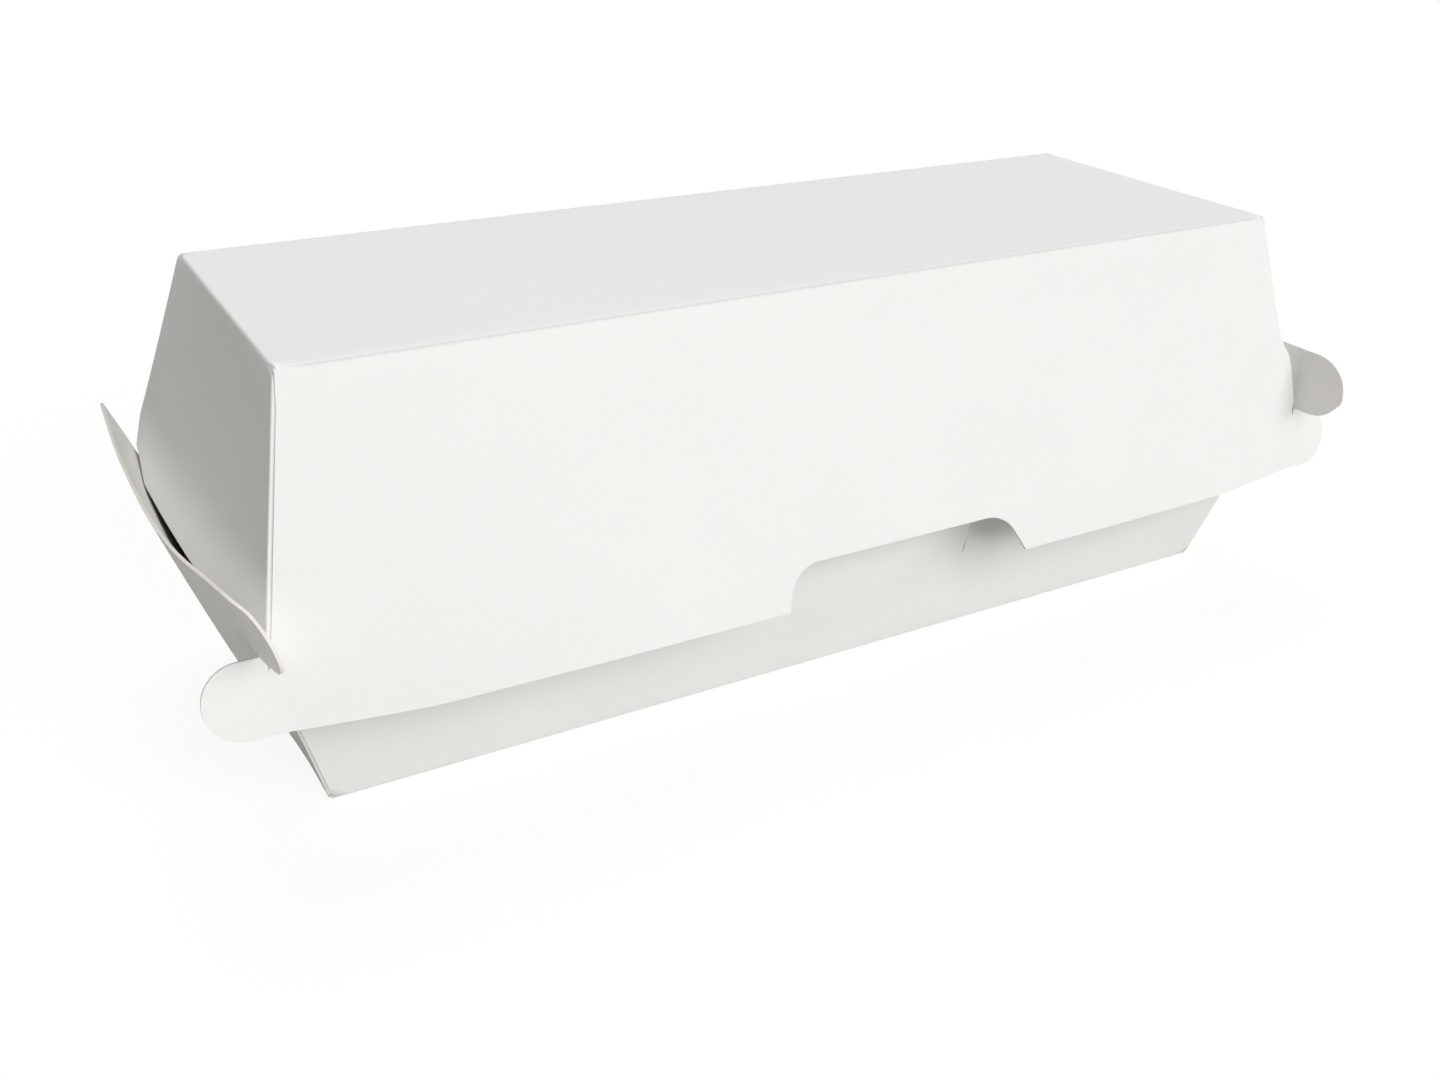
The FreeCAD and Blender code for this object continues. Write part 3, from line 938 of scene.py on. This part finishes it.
def makeWorld():
    world = bpy.data.worlds.new("studioWorld")
    world.use_nodes = True
    bpy.context.scene.world = world
    tree = world.node_tree
    background = tree.nodes["Background"]
    path = addNode(tree, "ShaderNodeLightPath")
    seen = addNode(tree, "ShaderNodeMath", operation="MAXIMUM")
    more = addNode(tree, "ShaderNodeMath", operation="MAXIMUM")
    level = addNode(tree, "ShaderNodeMix", data_type="RGBA")
    level.inputs["A"].default_value = (*studio["ambient"], 1)
    level.inputs["B"].default_value = (1, 1, 1, 1)
    tree.links.new(path.outputs["Is Camera Ray"], seen.inputs[0])
    tree.links.new(path.outputs["Is Glossy Ray"], seen.inputs[1])
    tree.links.new(seen.outputs["Value"], more.inputs[0])
    tree.links.new(path.outputs["Is Transmission Ray"], more.inputs[1])
    tree.links.new(more.outputs["Value"], level.inputs["Factor"])
    tree.links.new(level.outputs["Result"], background.inputs["Color"])


def makeLight(name, spec):
    data = bpy.data.lights.new(name, "SUN")
    data.angle = math.radians(spec["spread"])
    data.energy = spec["power"]
    lamp = bpy.data.objects.new(name, data)
    bpy.context.scene.collection.objects.link(lamp)
    lamp.location = Vector(spec["from"])
    lamp.rotation_euler = lamp.location.to_track_quat("Z", "Y").to_euler()


def makeCamera():
    turn, dip, roll = camera["turn"], camera["dip"], camera["roll"]
    ahead = Vector((math.sin(turn) * math.cos(dip), math.cos(turn) * math.cos(dip), -math.sin(dip)))
    right = Vector((math.cos(turn), -math.sin(turn), 0))
    up = right.cross(ahead)
    rightRolled = right * math.cos(roll) + up * math.sin(roll)
    upRolled = up * math.cos(roll) - right * math.sin(roll)
    data = bpy.data.cameras.new("camera")
    data.sensor_width = camera["sensor"]
    data.lens = camera["lens"]
    data.clip_start, data.clip_end = [distance * mm for distance in camera["clip"]]
    eye = bpy.data.objects.new("camera", data)
    bpy.context.scene.collection.objects.link(eye)
    turned = Matrix((rightRolled, upRolled, -ahead)).transposed().to_4x4()
    eye.matrix_world = Matrix.Translation(Vector(camera["place"]) * mm) @ turned
    bpy.context.scene.camera = eye


bpy.context.scene.view_settings.view_transform = "Standard"
makeCamera()
makeWorld()
makeFloor()
for name, spec in studio["lamps"].items():
    makeLight(name, spec)
print("camera, floor and light made")

boardGroup = makeBoardGroup()
boardMaterials = [makeBoardMaterial(name, look, boardGroup) for name, look in boardLook.items()]
print("board materials made")
makeTray(boardMaterials)
makeLid(boardMaterials)
makeCrease(boardMaterials)
